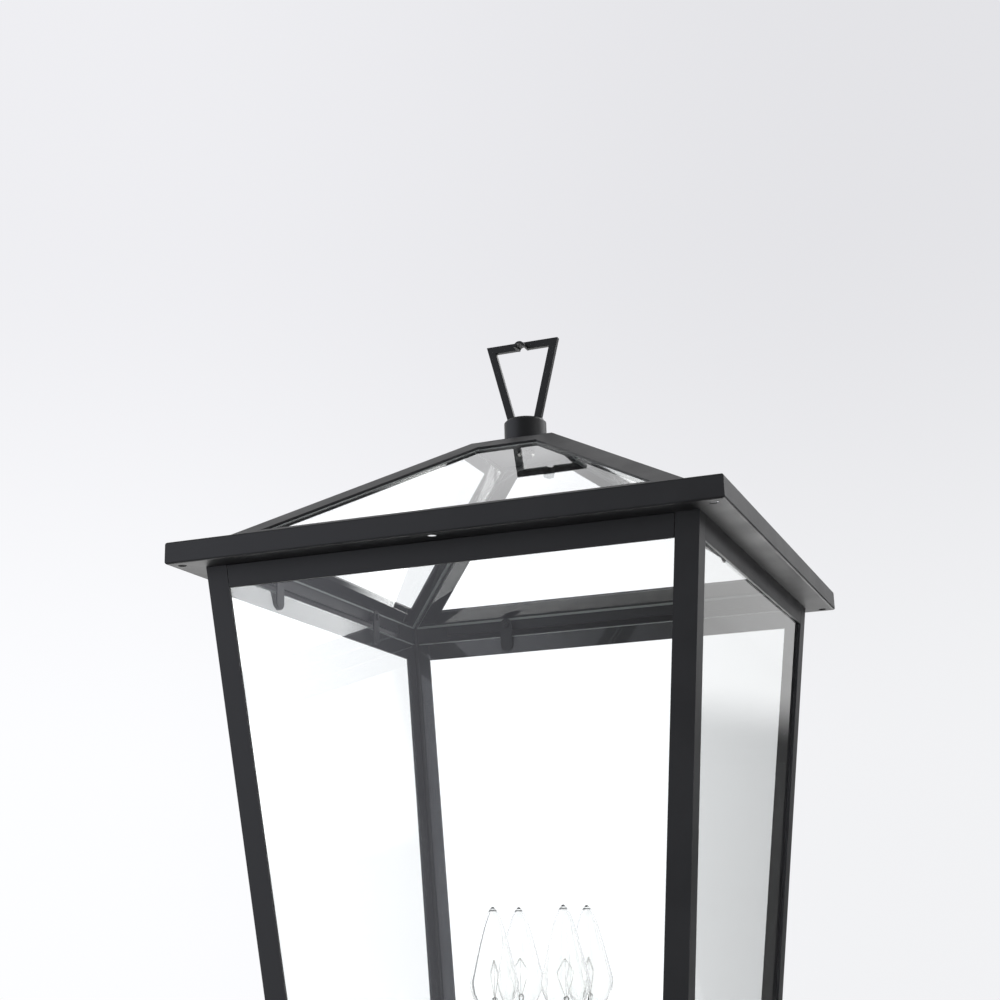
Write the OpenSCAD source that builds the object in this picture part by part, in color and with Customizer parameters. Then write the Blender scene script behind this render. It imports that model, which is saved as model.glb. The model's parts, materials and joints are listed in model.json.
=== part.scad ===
// Square hanging lantern for outdoors, with a clear glass roof, in millimetres.
// The origin is the middle of the half-round chain seat that the lantern hangs by, and +Z is up.
// Four sides repeat round the axis in the order front, right, back, left, and the front faces -Y.
// Most pieces are drawn from the underside of the soffit, and in_place() moves them down below the seat.

/* [Eave] */
// Distance that the eave stands out from the body on each side
eave_reach = 21; // [16:0.5:36]
// Height of the eave's outer face
eave_h = 16; // [12:0.5:17]
// Thickness of the eave's sheet
eave_sheet = 0.6; // [0.5:0.1:1]
// Outer radius of the eave's folds
eave_fold_r = 1.8; // [1.6:0.1:2.4]
// Width of the hem that is folded in at the top of the eave
hem_w = 4; // [3:0.5:6]
// Diameter of the drain holes in the soffit
drain_d = 6.2; // [4.5:0.1:7]
// Distance of the drain holes from the eave's outer face
drain_inset = 9; // [8:0.5:12]

/* [Body] */
// Width of the body where it meets the soffit
body_w = 358; // [320:2:420]
// Height of the body below the soffit
body_h = 435; // [380:5:520]
// Lean of the body's sides, in degrees
body_lean = 6.4; // [5:0.2:7.6]
// Leg width of the corner posts
post_leg = 16; // [14:0.5:20]
// Thickness of the posts, headers and bottom rails
frame_t = 2; // [1.6:0.1:2.4]
// Height of the headers under the soffit
header_h = 16; // [15:0.5:22]
// Height of the bottom rails
rail_h = 16; // [14:0.5:22]
// Open seam between a rail or header and the posts
seam = 0.3; // [0.2:0.05:0.5]
// Width of the ledge that the bottom rails turn inwards
ledge_w = 30; // [28:1:34]
// Thickness of the ledge
ledge_t = 1.5; // [1.2:0.1:2]
// Height of the strips that stop the panes at the bottom
stop_h = 8; // [5:0.5:12]
// Thickness of those strips
stop_t = 1.5; // [1:0.1:2]

/* [Roof] */
// Height of the roof's lower bend above the soffit
roof_foot = 17.3; // [17.1:0.1:20]
// Height of the flat top above the lower bend
roof_rise = 95.5; // [84:1:106]
// Width of the flat top
cap_w = 66.4; // [60:0.4:80]
// Thickness of the roof's sheet metal
roof_t = 2; // [1.6:0.1:2.2]
// Width of the hips' flanges
hip_leg = 16; // [14:0.5:18]
// Width of the sloping flange of the roof rails
rail_leg = 17; // [14:0.5:20]
// Width of the sloping flanges of the roof cap
cap_leg = 13.6; // [12:0.2:18]
// Air gap between the soffit and the roof's skirt
vent_gap = 4.4; // [3.6:0.1:5]
// Leg length of the brackets that join the skirt to the soffit
bracket_leg = 34; // [24:1:44]
// Thickness of those brackets
bracket_t = 1.5; // [1.2:0.1:1.6]

/* [Glass] */
// Thickness of the panes
glass_t = 3; // [2.5:0.1:3.2]
// Gap between a side pane and the frame
glass_gap = 0.3; // [0.2:0.05:0.4]
// Distance of a side pane's upright edges from the corner of the body
pane_inset = 7.5; // [7.2:0.1:9]
// Distance of a side pane's top edge below the soffit
pane_top_gap = 1.5; // [1:0.1:2.5]
// Thickness of the clear sealant under the roof frame
seal_t = 0.8; // [0.5:0.1:1]
// Distance of a roof pane from the roof's lower bend
roof_pane_foot = 1; // [1:0.1:1.6]
// Distance of a roof pane from the hips' ridges
roof_pane_inset = 4; // [3.5:0.1:6]
// Distance of a roof pane from the edge of the flat top
roof_pane_head = 3; // [2.5:0.1:5]

/* [Turn clips] */
// Distance between the two clips of a side
clip_pitch = 170; // [120:5:220]
// Width of a clip
clip_w = 11; // [9:0.5:11]
// Length of a clip from its pivot to its tip
clip_reach = 23.5; // [21:0.5:24]
// Thickness of a clip
clip_t = 1.2; // [1:0.1:1.5]
// Height of the clips' pivots above the soffit
clip_pivot = 9; // [8.4:0.1:9.1]
// Diameter of a clip's spacer boss
clip_boss_d = 7; // [6:0.2:7.4]
// Running gap of a clip towards the glass, the skirt and the screw's head
clip_gap = 0.3; // [0.2:0.05:0.4]
// Diameter of the pivot screws
screw_d = 3; // [2.6:0.1:3.4]
// Diameter of the screws' heads
screw_head_d = 6; // [5.4:0.2:7]
// Height of the screws' heads
screw_head_h = 1.8; // [1.4:0.1:2.2]
// Running clearance on the radius of a pivot screw
pivot_play = 0.08; // [0.04:0.01:0.1]

/* [Hub and loop] */
// Diameter of the hub
hub_d = 33.4; // [32:0.4:40]
// Height of the hub
hub_h = 23.3; // [20:0.4:34]
// Chamfer round the top of the hub
hub_chamfer = 2; // [0.6:0.2:2.2]
// Width of the loop's flat bar, seen from the front
loop_bar = 6; // [5:0.5:7]
// Thickness of the loop's bar from front to back
loop_depth = 4.5; // [3.5:0.5:6]
// Height of the loop's opening
loop_h = 59.9; // [48:0.8:72]
// Width over the loop's feet
loop_foot_w = 27.4; // [27:0.2:30]
// Width over the top of the loop
loop_head_w = 60.6; // [54:1:70]
// Inner radius of the half-round chain seat
seat_r = 3; // [2.4:0.1:3.2]
// Wall of the chain seat
seat_wall = 1.6; // [1.2:0.1:1.8]
// How far the chain seat stands out in front of the loop
seat_reach = 7.4; // [4:0.2:10]
// Outer diameter of the threaded wiring tube
tube_d = 9.8; // [9:0.1:10.2]
// Bore of the wiring tube
tube_bore = 6.8; // [5.8:0.1:7.2]
// Length of the wiring tube below the cap
tube_drop = 4; // [3.4:0.2:6]
// Length of the wiring tube inside the hub
tube_rise = 13; // [8:0.5:16]
// Diameter of the wire inlet in the top of the hub
inlet_d = 11.2; // [10.6:0.2:13]

/* [Lamps] */
// Width of the cross bar that carries the lamps
bar_w = 22; // [18:1:28]
// Thickness of the cross bar
bar_t = 3; // [2:0.5:4]
// Diameter of the wiring pan
pan_d = 112; // [108:1:130]
// Height of the wiring pan
pan_h = 15; // [12:0.5:20]
// Thickness of the pan and of its cover
pan_t = 1; // [0.8:0.1:1.4]
// Distance of the candles from the axis
candle_ring_r = 38; // [36:0.5:40]
// Outer diameter of a candle sleeve
sleeve_d = 24; // [23:0.2:26]
// Wall of a candle sleeve
sleeve_wall = 0.8; // [0.6:0.1:1]
// Height of a candle sleeve
sleeve_h = 95; // [70:1:110]
// Diameter of the cup under a candle
cup_d = 34; // [30:0.5:38]
// Height of the cup's rim
cup_h = 6; // [4:0.5:8]
// Outer diameter of a lamp socket
socket_d = 17; // [16:0.2:19]
// Length of a lamp socket
socket_l = 44; // [36:1:52]
// Diameter of a bulb's envelope
bulb_d = 35; // [30:0.5:38]
// Length of a bulb's envelope
bulb_l = 82; // [70:1:95]
// Diameter of a bulb's cap
bulb_cap_d = 11.8; // [11:0.1:12]
// Length of a bulb's cap
bulb_cap_l = 16; // [14:0.5:19]
// Thickness of a bulb's glass
bulb_wall = 0.8; // [0.6:0.1:1]
// Diameter of the lead wire
wire_d = 2.4; // [1.8:0.1:2.4]

/* [Hidden] */

$fn = 48;

body_half = body_w / 2;
eave_half = body_half + eave_reach;
eave_w = 2 * eave_half;
cap_half = cap_w / 2;
roof_top = roof_foot + roof_rise;
roof_run = body_half - cap_half;
roof_angle = atan(roof_rise / roof_run);
roof_slope = roof_run / cos(roof_angle);
skirt_z = eave_sheet + vent_gap;
hub_top = roof_top + hub_h;
hang_z = hub_top + loop_h;

// How far a line that is set in square to a hip or a body corner moves along the side.
hip_skew = sqrt(1 + pow(cos(roof_angle), 2));
corner_skew = sqrt(1 + pow(sin(body_lean), 2));

// The side panes stand in the channel between the bottom rails and the stops.
pane_depth = frame_t + glass_gap;
stop_depth = pane_depth + glass_t + glass_gap;
stop_end = 6;
floor_z = -body_h + ledge_t;
pane_low = (floor_z + glass_gap - pane_depth * sin(body_lean)) / cos(body_lean);

// A clip clears the pane where the pane leans furthest in, at the clip's tip.
clip_tip_z = clip_pivot - clip_reach;
clip_depth = (pane_depth + glass_t) / cos(body_lean) - clip_tip_z * tan(body_lean) + clip_gap;
screw_hole_r = screw_d / 2 + 0.05;
screw_end = 1.5;

tube_r = tube_d / 2;
tube_low = roof_top - roof_t - tube_drop;
tube_play = 0.1;
lock_nut_d = tube_d + 4.2;
lock_nut_h = 2.8;
bush_wall = 0.8;
bush_flange = 1.2;
seat_play = 0.05;

bar_z = floor_z;
bar_half = wall_r(-body_h, 0) - ledge_w / 2;
bar_screw_x = bar_half - 8;
bar_screw_d = 4;
pan_z = bar_z + bar_t;
pan_top = pan_z + pan_h;
cup_t = 1;
sleeve_z = pan_top + cup_t;
sleeve_top = sleeve_z + sleeve_h;
socket_z = sleeve_top - socket_l;
bulb_z = sleeve_top + 1;
candle_angles = [45, 135, 225, 315];

// The lead wire runs in the channel between two roof panes, under the back left hip, down the corner
// behind it, along the left ledge and over the cross bar into the pan.
wire_r = wire_d / 2;
wire_gap = 0.4;
wire_depth = roof_t + bracket_t + wire_r + wire_gap;
wire_low_z = floor_z + wire_r + wire_gap;
wire_hip_r = cap_half + cap_leg;
wire_ledge_r = bar_half + 3;
wire_entry_z = pan_z + 5;
pan_hole_r = 3;
wire_bend = 8;
wire_bend_steps = 5;
wire_sides = 8;
wire_route = [
    [0, 0, roof_top + tube_rise - 2],
    [0, 0, tube_low - 6],
    [-wire_hip_r, wire_hip_r, hip_wire_z(wire_hip_r)],
    corner_wire(hip_wire_z(wall_r(0, wire_depth))),
    corner_wire(-body_h + rail_h),
    [-wire_ledge_r, wire_ledge_r, wire_low_z],
    [-wire_ledge_r, bar_w / 2 + 10, wire_low_z],
    [-bar_screw_x - 4, 8, pan_z + wire_r + wire_gap],
    [-(pan_d / 2 + wire_r + 3 * wire_bend), 0, wire_entry_z],
    [-pan_d / 2 + wire_bend, 0, wire_entry_z]
];

black = [0.10, 0.10, 0.11];
clear = [0.80, 0.88, 0.90, 0.35];
nickel = [0.72, 0.71, 0.68];

function arc(centre, r, from, to, steps = 5) =
    [for (k = [0:steps]) let (a = from + (to - from) * k / steps) centre + r * [cos(a), sin(a)]];
function roof_half(s, inset) = body_half - s * cos(roof_angle) - inset * hip_skew;
function wall_half(v, inset) = body_half + v * sin(body_lean) - inset * corner_skew;
// Distance of a wall from the axis at a height, measured at a depth behind its outer face.
function wall_r(z, depth) = body_half + min(z, 0) * tan(body_lean) - depth / cos(body_lean);
function hip_wire_z(r) =
    roof_foot + (body_half - r) * tan(roof_angle) - (roof_t + wire_r + wire_gap) / cos(roof_angle);
function corner_wire(z) = [-wall_r(z, wire_depth), wall_r(z, wire_depth), z];

function unit(v) = v / norm(v);
function bend(a, b, c, s) = (1 - s) * (1 - s) * a + 2 * s * (1 - s) * b + s * s * c;
// A route whose inner corners are drawn as bends that start and end at one distance from the corner.
function rounded(route, reach, steps) = [
    route[0],
    for (k = [1:len(route) - 2], j = [0:steps])
        let (here = route[k], back = unit(route[k - 1] - here), on = unit(route[k + 1] - here))
            bend(here + reach * back, here, here + reach * on, j / steps),
    route[len(route) - 1]
];

module in_place() {
    translate([0, 0, -hang_z]) children();
}

module side(i) {
    rotate([0, 0, 90 * i]) children();
}

// Keeps what lies between two heights.
module between(low, high) {
    intersection() {
        children();
        translate([-eave_w, -eave_w, low]) cube([2 * eave_w, 2 * eave_w, high - low]);
    }
}

// Keeps the front quarter, which ends in mitres at the two front corners.
module mitred() {
    intersection() {
        children();
        translate([0, 0, -body_h - 1])
            linear_extrude(body_h + roof_top + 2)
                polygon([[0, 0], [-eave_w, -eave_w], [eave_w, -eave_w]]);
    }
}

// A plate in the front roof slope: X runs along the eave and Y up the slope.
module roof_plate(depth, t) {
    translate([0, -body_half, roof_foot])
        rotate([roof_angle, 0, 0])
            translate([0, 0, -depth - t])
                linear_extrude(t) children();
}

// A plate in the front wall: X runs along the wall and Y up it, from the soffit.
module wall_plate(depth, t) {
    translate([0, -body_half, 0])
        rotate([90 + body_lean, 0, 0])
            translate([0, 0, -depth - t])
                linear_extrude(t) children();
}

module roof_outline(low, high, inset) {
    polygon([
        [-roof_half(low, inset), low], [roof_half(low, inset), low],
        [roof_half(high, inset), high], [-roof_half(high, inset), high]
    ]);
}

module wall_outline(low, high, inset) {
    polygon([
        [-wall_half(low, inset), low], [wall_half(low, inset), low],
        [wall_half(high, inset), high], [-wall_half(high, inset), high]
    ]);
}

// Turns a ring of points about the Z axis.
module turned(points) {
    rotate_extrude() polygon(points);
}

module eave_profile() {
    inner = -body_half + frame_t;
    low = [-eave_half + eave_fold_r, eave_fold_r];
    high = [-eave_half + eave_fold_r, eave_h - eave_fold_r];
    hem_end = -eave_half + hem_w;
    polygon(concat(
        [[inner, 0]],
        arc(low, eave_fold_r, 270, 180),
        arc(high, eave_fold_r, 180, 90),
        [[hem_end, eave_h], [hem_end, eave_h - eave_sheet]],
        arc(high, eave_fold_r - eave_sheet, 90, 180),
        arc(low, eave_fold_r - eave_sheet, 180, 270),
        [[inner, eave_sheet]]
    ));
}

// One side of the eave: soffit, outer face and hem folded from one sheet and mitred at its ends.
// There is a drain hole at each corner, and one more in the middle of the front and of the back.
module eave(i) {
    hole = eave_half - drain_inset;
    holes = i % 2 == 0 ? [-hole, 0, hole] : [-hole, hole];
    color(black) in_place() side(i) difference() {
        mitred() rotate([90, 0, 90]) linear_extrude(eave_w, center = true) eave_profile();
        for (x = holes)
            translate([x, -hole, -1]) cylinder(d = drain_d, h = eave_sheet + 2);
    }
}

// A folded angle: a sloping flange under the glass line and an upright skirt.
module roof_rail(i) {
    color(black) in_place() side(i) difference() {
        union() {
            roof_plate(0, roof_t) roof_outline(0, rail_leg, hip_leg);
            mitred()
                translate([-body_half, -body_half, skirt_z]) cube([body_w, roof_t, roof_foot - skirt_z]);
        }
        for (x = [-1, 1])
            translate([x * clip_pitch / 2, -body_half - 1, clip_pivot])
                rotate([-90, 0, 0]) cylinder(r = screw_hole_r, h = roof_t + 2);
    }
}

// A flange beside a ridge. It is drawn past the ridge, and mitred() cuts it there.
module hip_flange(end) {
    polygon([
        [end * roof_half(0, -hip_leg), 0], [end * roof_half(roof_slope, -hip_leg), roof_slope],
        [end * roof_half(roof_slope, hip_leg), roof_slope], [end * roof_half(0, hip_leg), 0]
    ]);
}

// A folded ridge piece with a flange in each of two neighbouring roof slopes. It stops at the cap.
module hip(i) {
    stop = cap_half + seam;
    color(black) in_place() difference() {
        between(roof_foot, roof_top) {
            union() {
                side(i) mitred() roof_plate(0, roof_t) hip_flange(1);
                side(i + 1) mitred() roof_plate(0, roof_t) hip_flange(-1);
            }
        }
        translate([-stop, -stop, roof_foot]) cube([2 * stop, 2 * stop, 2 * roof_rise]);
    }
}

// The flat top with four sloping flanges that fit between the hips.
module roof_cap() {
    color(black) in_place() difference() {
        union() {
            translate([-cap_half, -cap_half, roof_top - roof_t]) cube([cap_w, cap_w, roof_t]);
            between(roof_foot, roof_top) {
                for (i = [0:3])
                    side(i) roof_plate(0, roof_t)
                        roof_outline(roof_slope - cap_leg, roof_slope + 2 * roof_t, hip_leg);
            }
        }
        translate([0, 0, roof_top - 2 * roof_t]) cylinder(r = tube_r + tube_play, h = 3 * roof_t);
    }
}

// Angles in the four corners, welded to the soffit's inner edge and to the skirts.
module corner_brackets() {
    outer = body_half - roof_t;
    inner = outer - bracket_t;
    end = outer - bracket_leg;
    color(black) in_place()
        for (i = [0:3])
            side(i) linear_extrude(roof_foot - 4.8)
                polygon([
                    [outer, -outer], [outer, -end], [inner, -end],
                    [inner, -inner], [end, -inner], [end, -outer]
                ]);
}

module roof_glass(i) {
    color(clear) in_place() side(i)
        roof_plate(roof_t + seal_t, glass_t)
            roof_outline(roof_pane_foot, roof_slope - roof_pane_head, roof_pane_inset);
}

// Beads of clear sealant between the roof frame and its panes.
module roof_seals() {
    color(clear) in_place()
        for (i = [0:3])
            side(i) roof_plate(roof_t, seal_t) difference() {
                roof_outline(roof_pane_foot + 1.5, roof_slope - roof_pane_head - 1, roof_pane_inset + 1);
                roof_outline(rail_leg, roof_slope - cap_leg, hip_leg);
            }
}

module header(i) {
    color(black) in_place()
        between(-header_h, 0)
            side(i) wall_plate(0, frame_t) wall_outline(-header_h - 2, 2, post_leg + seam);
}

module post_flange(end) {
    low = -body_h / cos(body_lean) - 2;
    polygon([
        [end * wall_half(low, 0), low], [end * wall_half(2, 0), 2],
        [end * wall_half(2, post_leg), 2], [end * wall_half(low, post_leg), low]
    ]);
}

// A corner angle that leans with both of its sides.
module post(i) {
    color(black) in_place()
        between(-body_h, 0) {
            union() {
                side(i) wall_plate(0, frame_t) post_flange(1);
                side(i + 1) wall_plate(0, frame_t) post_flange(-1);
            }
        }
}

module side_glass(i) {
    color(clear) in_place() side(i)
        wall_plate(pane_depth, glass_t) wall_outline(pane_low, -pane_top_gap, pane_inset);
}

// A turn clip: a tongue with a round tip, on a boss that keeps it clear of the skirt.
module clip(i, end) {
    boss_start = roof_t + clip_gap;
    color(black) in_place() side(i)
        translate([end * clip_pitch / 2, -body_half, clip_pivot])
            rotate([-90, 0, 0]) difference() {
                union() {
                    translate([0, 0, boss_start])
                        cylinder(d = clip_boss_d, h = clip_depth - boss_start + clip_t / 2);
                    translate([0, 0, clip_depth]) cylinder(d = clip_w, h = clip_t);
                    translate([0, clip_reach - clip_w / 2, clip_depth]) cylinder(d = clip_w, h = clip_t);
                    translate([-clip_w / 2, 0, clip_depth]) cube([clip_w, clip_reach - clip_w / 2, clip_t]);
                }
                cylinder(r = screw_d / 2 + pivot_play, h = clip_depth + clip_t + 1);
            }
}

// A screw along +Z with its head at the top. The underside of the head is at z = 0.
module pan_screw(d, l, head_d, head_h) {
    r = d / 2;
    head_r = head_d / 2;
    difference() {
        turned(concat(
            [[0, -l], [r - 0.4, -l], [r, -l + 0.4], [r, 0], [head_r, 0]],
            arc([head_r - 0.5 * head_h, 0.5 * head_h], 0.5 * head_h, 0, 90, 4),
            [[0, head_h]]
        ));
        for (a = [0, 90])
            rotate([0, 0, a])
                translate([-0.32 * head_d, -0.4, 0.5 * head_h]) cube([0.64 * head_d, 0.8, head_h]);
    }
}

module clip_screws() {
    head_y = clip_depth + clip_t + clip_gap;
    color(nickel) in_place()
        for (i = [0:3], end = [-1, 1])
            side(i) translate([end * clip_pitch / 2, -body_half + head_y, clip_pivot])
                rotate([-90, 0, 0]) pan_screw(screw_d, head_y + screw_end, screw_head_d, screw_head_h);
}

// A bottom rail: an outer strip between the posts and a ledge that is mitred at the corners.
module bottom_rail(i) {
    wide = wall_half(-body_h, 0);
    color(black) in_place() side(i) difference() {
        union() {
            between(-body_h, -body_h + rail_h)
                wall_plate(0, frame_t) wall_outline(-body_h - rail_h, -body_h + 2 * rail_h, post_leg + seam);
            mitred() between(-body_h, floor_z)
                wall_plate(frame_t, ledge_w - frame_t)
                    translate([-wide, -body_h - rail_h]) square([2 * wide, 3 * rail_h]);
        }
        if (i % 2 == 1)
            translate([0, -bar_screw_x, -body_h - 1]) cylinder(r = bar_screw_d / 2 + 0.2, h = ledge_t + 2);
    }
}

// Strips that stand on the ledges and keep the foot of each pane in place.
module glass_stops() {
    color(black) in_place()
        for (i = [0:3])
            side(i) mitred() between(floor_z, floor_z + stop_h)
                wall_plate(stop_depth, stop_t)
                    wall_outline(-body_h - stop_h, -body_h + 3 * stop_h, stop_depth + stop_end);
}

// The hub is bored for the wiring tube, with a wider inlet for the supply wire above it.
module hub() {
    bore = tube_r + tube_play;
    r = hub_d / 2;
    inlet_r = inlet_d / 2;
    inlet_z = roof_top + tube_rise;
    color(black) in_place()
        turned([
            [bore, roof_top], [r, roof_top], [r, hub_top - hub_chamfer], [r - hub_chamfer, hub_top],
            [inlet_r, hub_top], [inlet_r, inlet_z], [bore, inlet_z]
        ]);
}

// The loop is bent from flat bar, with a notch for the chain seat under its top bar.
module hanging_loop() {
    lean = atan((loop_head_w - loop_foot_w) / 2 / (loop_h + loop_bar));
    foot = loop_foot_w / 2 - loop_bar / cos(lean);
    shift = loop_h * tan(lean);
    color(black) translate([0, loop_depth / 2, 0]) rotate([90, 0, 0]) difference() {
        linear_extrude(loop_depth) difference() {
            polygon([
                [-loop_foot_w / 2, -loop_h], [loop_foot_w / 2, -loop_h],
                [loop_head_w / 2, loop_bar], [-loop_head_w / 2, loop_bar]
            ]);
            polygon([
                [-foot + tan(lean), -loop_h - 1], [foot - tan(lean), -loop_h - 1],
                [foot + shift, 0], [-foot - shift, 0]
            ]);
        }
        translate([0, 0, -1]) cylinder(r = seat_r + seat_wall + seat_play, h = loop_depth + 2);
    }
}

// The half-round saddle that keeps the chain in the middle of the loop. It stands out at the front.
module chain_seat() {
    r = seat_r + seat_wall;
    length = loop_depth + seat_reach;
    color(black) rotate([90, 0, 0]) translate([0, 0, -loop_depth / 2]) difference() {
        cylinder(r = r, h = length);
        translate([0, 0, -1]) cylinder(r = seat_r, h = length + 2);
        translate([-r - 1, -r - 1, -1]) cube([2 * r + 2, r + 1, length + 2]);
    }
}

module wiring_tube() {
    high = roof_top + tube_rise;
    color(nickel) in_place()
        turned([[tube_bore / 2, tube_low], [tube_r, tube_low], [tube_r, high], [tube_bore / 2, high]]);
}

// A thin round nut that clamps the cap between the hub and the tube's lower end.
module lock_nut() {
    high = roof_top - roof_t;
    low = high - lock_nut_h;
    r = lock_nut_d / 2;
    hole = tube_r + tube_play;
    color(nickel) in_place()
        turned([[hole, low], [r - 0.6, low], [r, low + 0.6], [r, high - 0.4], [r - 0.4, high], [hole, high]]);
}

// An insulating bush that stands on its flange and lines a hole.
module bush(hole_r, length) {
    inner = hole_r - bush_wall;
    turned([
        [inner, -bush_flange], [hole_r + 1.4, -bush_flange], [hole_r + 1.4, 0],
        [hole_r, 0], [hole_r, length], [inner, length]
    ]);
}

// One bush lines the tube's lower end and one the wire's hole in the pan.
module wire_bushings() {
    color("dimgray") in_place() {
        translate([0, 0, tube_low]) bush(tube_bore / 2 - 0.05, 5);
        translate([-pan_d / 2 - 0.1, 0, wire_entry_z]) rotate([0, 90, 0]) bush(pan_hole_r - 0.1, 4);
    }
}

module cross_bar() {
    color(black) in_place() difference() {
        translate([-bar_half, -bar_w / 2, bar_z]) cube([2 * bar_half, bar_w, bar_t]);
        for (x = [-bar_screw_x, bar_screw_x])
            translate([x, 0, bar_z - 1]) cylinder(r = bar_screw_d / 2 + 0.2, h = bar_t + 2);
        translate([0, 0, bar_z - 1]) cylinder(r = tube_r + tube_play, h = bar_t + 2);
    }
}

// Two screws with nuts hold the bar to the ledges, and a short tube with a nut holds the pan.
module bar_fixings() {
    nut = 3.2;
    pan_nut = 4.6;
    pan_nut_flat = 14.3;
    color(nickel) in_place() {
        for (x = [-bar_screw_x, bar_screw_x])
            translate([x, 0, -body_h]) {
                rotate([180, 0, 0]) pan_screw(bar_screw_d, ledge_t + bar_t + nut + 1, 8, 2.4);
                translate([0, 0, ledge_t + bar_t]) difference() {
                    cylinder(d = 8.1, h = nut, $fn = 6);
                    translate([0, 0, -1]) cylinder(r = bar_screw_d / 2 + 0.05, h = nut + 2);
                }
            }
        turned([
            [tube_bore / 2, bar_z - 6], [tube_r, bar_z - 6], [tube_r, pan_z + 8], [tube_bore / 2, pan_z + 8]
        ]);
        translate([0, 0, bar_z - pan_nut]) difference() {
            cylinder(d = pan_nut_flat / cos(30), h = pan_nut, $fn = 6);
            translate([0, 0, -1]) cylinder(r = tube_r + tube_play, h = pan_nut + 2);
        }
    }
}

// The pan is a shallow drum that is open below, and a flat cover closes it.
module wiring_pan() {
    r = pan_d / 2;
    soft = 3;
    hole = socket_d / 2 - 2;
    cover_hole = tube_r + tube_play;
    color(black) in_place() {
        turned([[cover_hole, pan_z], [r, pan_z], [r, pan_z + pan_t], [cover_hole, pan_z + pan_t]]);
        difference() {
            turned(concat(
                [[r - pan_t, pan_z + pan_t], [r, pan_z + pan_t]],
                arc([r - soft, pan_top - soft], soft, 0, 90, 4),
                [[0, pan_top], [0, pan_top - pan_t]],
                arc([r - soft, pan_top - soft], soft - pan_t, 90, 0, 4)
            ));
            for (a = candle_angles)
                rotate([0, 0, a])
                    translate([candle_ring_r, 0, pan_top - 2 * pan_t]) cylinder(r = hole, h = 3 * pan_t);
            translate([-r - 1, 0, wire_entry_z]) rotate([0, 90, 0]) cylinder(r = pan_hole_r, h = pan_t + 3);
        }
    }
}

module at_candles() {
    in_place() for (a = candle_angles) rotate([0, 0, a]) translate([candle_ring_r, 0, 0]) children();
}

// A turned dish that a candle stands in.
module candle_cups() {
    r = cup_d / 2;
    hole = socket_d / 2 - 2;
    color(black) at_candles()
        turned([
            [hole, pan_top], [r - 4, pan_top], [r, pan_top + cup_h], [r - cup_t, pan_top + cup_h],
            [r - 4 - cup_t, pan_top + cup_t], [hole, pan_top + cup_t]
        ]);
}

module candle_sleeves() {
    r = sleeve_d / 2;
    lip = socket_d / 2 + 0.2;
    color(black) at_candles()
        turned([
            [r - sleeve_wall, sleeve_z], [r, sleeve_z], [r, sleeve_top], [lip, sleeve_top],
            [lip, sleeve_top - sleeve_wall], [r - sleeve_wall, sleeve_top - sleeve_wall]
        ]);
}

// A socket: an insulating body with a screw shell, on a threaded stem that stands in the cup.
module lamp_sockets() {
    r = socket_d / 2;
    shell = bulb_cap_d / 2 + 0.3;
    stem = 3.5;
    color("ivory") at_candles()
        turned([
            [0, sleeve_z], [stem, sleeve_z], [stem, socket_z], [r, socket_z + 3], [r, sleeve_top],
            [shell, sleeve_top], [shell, bulb_z - bulb_cap_l - 3], [0, bulb_z - bulb_cap_l - 3]
        ]);
}

// A screw cap with rolled threads and a contact at its end.
module bulb_caps() {
    r = bulb_cap_d / 2;
    turns = 5;
    pitch = (bulb_cap_l - 5) / turns;
    low = bulb_z - bulb_cap_l;
    color(nickel) at_candles()
        turned(concat(
            [[0, low], [2.4, low], [2.4, low + 1], [r - 2, low + 1], [r - 1, low + 2.4]],
            [for (k = [0:turns - 1], p = [[0.25, -0.1], [0.75, -0.7]])
                [r + p.y, low + 3 + (k + p.x) * pitch]],
            [[r, bulb_z - 1.5], [r, bulb_z], [0, bulb_z]]
        ));
}

// The flame-shaped envelope of a bulb: full at a third of its height and drawn out to a tip.
function bulb_radius(u) = let (
        belly = bulb_d / 2,
        neck = bulb_cap_d / 2,
        rise = sin(90 * min(u / 0.36, 1)),
        fall = max(u - 0.36, 0) / 0.64
    ) (neck + (belly - neck) * pow(rise, 1.3)) * pow(1 - fall, 0.75 - 0.1 * fall) + 0.6 * fall;

module bulb_glass() {
    steps = 22;
    outer = [for (k = [0:steps]) let (u = k / steps) [bulb_radius(u), bulb_z + u * bulb_l]];
    inner = [for (k = [steps - 1:-1:0]) let (u = k / steps)
        [max(bulb_radius(u) - bulb_wall, 0.3), bulb_z + bulb_wall + u * (bulb_l - 2 * bulb_wall)]];
    color(clear) at_candles()
        turned(concat([[0, bulb_z]], outer, [[0, bulb_z + bulb_l]], [[0, bulb_z + bulb_l - 3]], inner,
            [[0, bulb_z + bulb_wall]]));
}

// A round wire along a list of points. Each ring is square to the way from the point before to the next.
module wire(points, r, sides) {
    last = len(points) - 1;
    rings = [for (k = [0:last])
        let (
            on = unit(points[min(k + 1, last)] - points[max(k - 1, 0)]),
            across = unit(cross(on, [1, 1, 0])),
            up = cross(on, across)
        )
        for (j = [0:sides - 1])
            let (a = 360 * j / sides) points[k] + r * (cos(a) * across + sin(a) * up)
    ];
    walls = [for (k = [0:last - 1], j = [0:sides - 1])
        let (next = (j + 1) % sides)
            [k * sides + j, (k + 1) * sides + j, (k + 1) * sides + next, k * sides + next]
    ];
    first_end = [for (j = [0:sides - 1]) j];
    last_end = [for (j = [sides - 1:-1:0]) last * sides + j];
    polyhedron(points = rings, faces = concat([first_end], walls, [last_end]));
}

module lead_wire() {
    color(black) in_place() wire(rounded(wire_route, wire_bend, wire_bend_steps), wire_r, wire_sides);
}

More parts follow.
